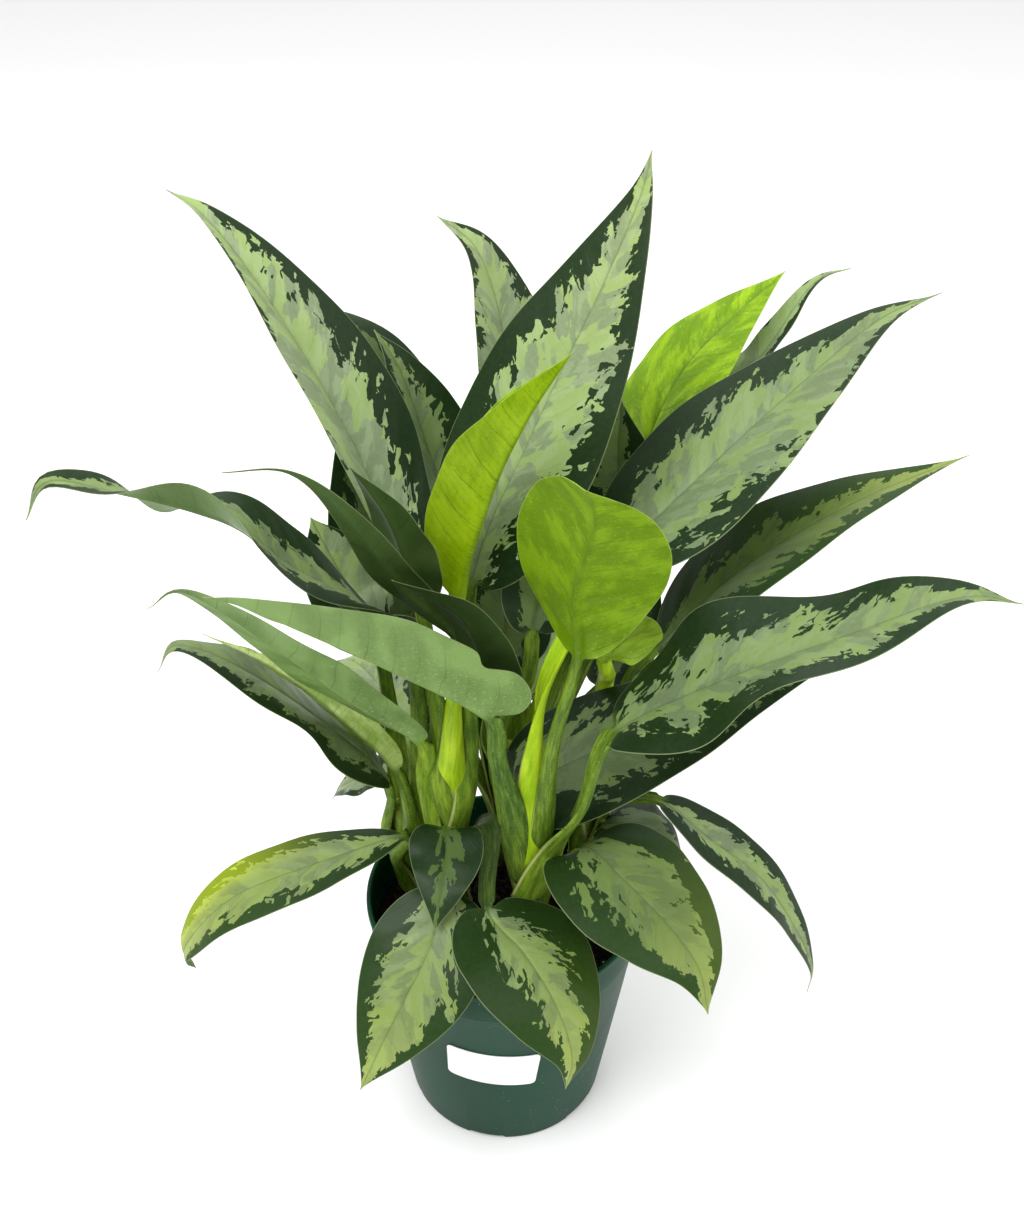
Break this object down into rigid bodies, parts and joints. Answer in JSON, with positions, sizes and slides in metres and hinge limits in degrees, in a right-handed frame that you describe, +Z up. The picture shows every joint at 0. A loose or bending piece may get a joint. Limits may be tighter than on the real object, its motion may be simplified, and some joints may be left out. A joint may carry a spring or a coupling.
{
  "type": "potted house plant",
  "caption": "Potted chinese evergreen: silver-patterned pointed leaves on upright stalks in a round tapering nursery pot with a blank label.",
  "frame": {"origin": "centre of the pot's flat underside", "axes": "+Z up through the pot's centre line, -Y towards the side with the label, +X to the right of someone facing the label"},
  "size_m": [0.4098, 0.3088, 0.5222],
  "materials": {
    "leaf_green": "satin, dark green edge round a ragged silver-green middle",
    "leaf_young": "satin, bright yellow-green",
    "stem_green": "satin, green streaked with cream",
    "soil": "matt, dark moist potting mix",
    "pot_plastic": "satin dark green",
    "label_paper": "matt white, blank"
  },
  "bodies": {
    "root": {"pot": "pot_plastic", "label": "label_paper", "soil": "soil", "cane_back": "stem_green", "cane_centre": "stem_green", "cane_far_left": "stem_green", "cane_left": "stem_green", "cane_right": "stem_green", "leaf_back_centre": "leaf_green", "leaf_back_left_lower": "leaf_green", "leaf_back_left_middle": "leaf_green", "leaf_back_left_upper": "leaf_green", "leaf_back_narrow": "leaf_green", "leaf_back_right_lower": "leaf_green", "leaf_back_right_slim": "leaf_green", "leaf_back_right_upper": "leaf_green", "leaf_centre_dark": "leaf_green", "leaf_left_arched": "leaf_green", "leaf_left_folded": "leaf_green", "leaf_left_front": "leaf_green", "leaf_left_grey": "leaf_green", "leaf_left_inner": "leaf_green", "leaf_left_lower": "leaf_green", "leaf_left_pale": "leaf_young", "leaf_left_small": "leaf_green", "leaf_left_tiny": "leaf_green", "leaf_left_twisted": "leaf_green", "leaf_low_front": "leaf_green", "leaf_low_front_left": "leaf_green", "leaf_low_front_right": "leaf_green", "leaf_low_left": "leaf_green", "leaf_low_small": "leaf_green", "leaf_rear": "leaf_green", "leaf_rear_left": "leaf_green", "leaf_rear_right": "leaf_green", "leaf_right_drooping": "leaf_green", "leaf_right_long": "leaf_green", "leaf_right_tucked": "leaf_green", "leaf_right_upper": "leaf_green", "leaf_right_wide": "leaf_green", "leaf_tall_back": "leaf_green", "leaf_tall_centre": "leaf_green", "leaf_tall_left": "leaf_green", "leaf_tall_right": "leaf_green", "leaf_young_back": "leaf_young", "leaf_young_heart": "leaf_young", "leaf_young_rolled": "leaf_young", "leaf_young_small": "leaf_young"}
  },
  "joints": []
}
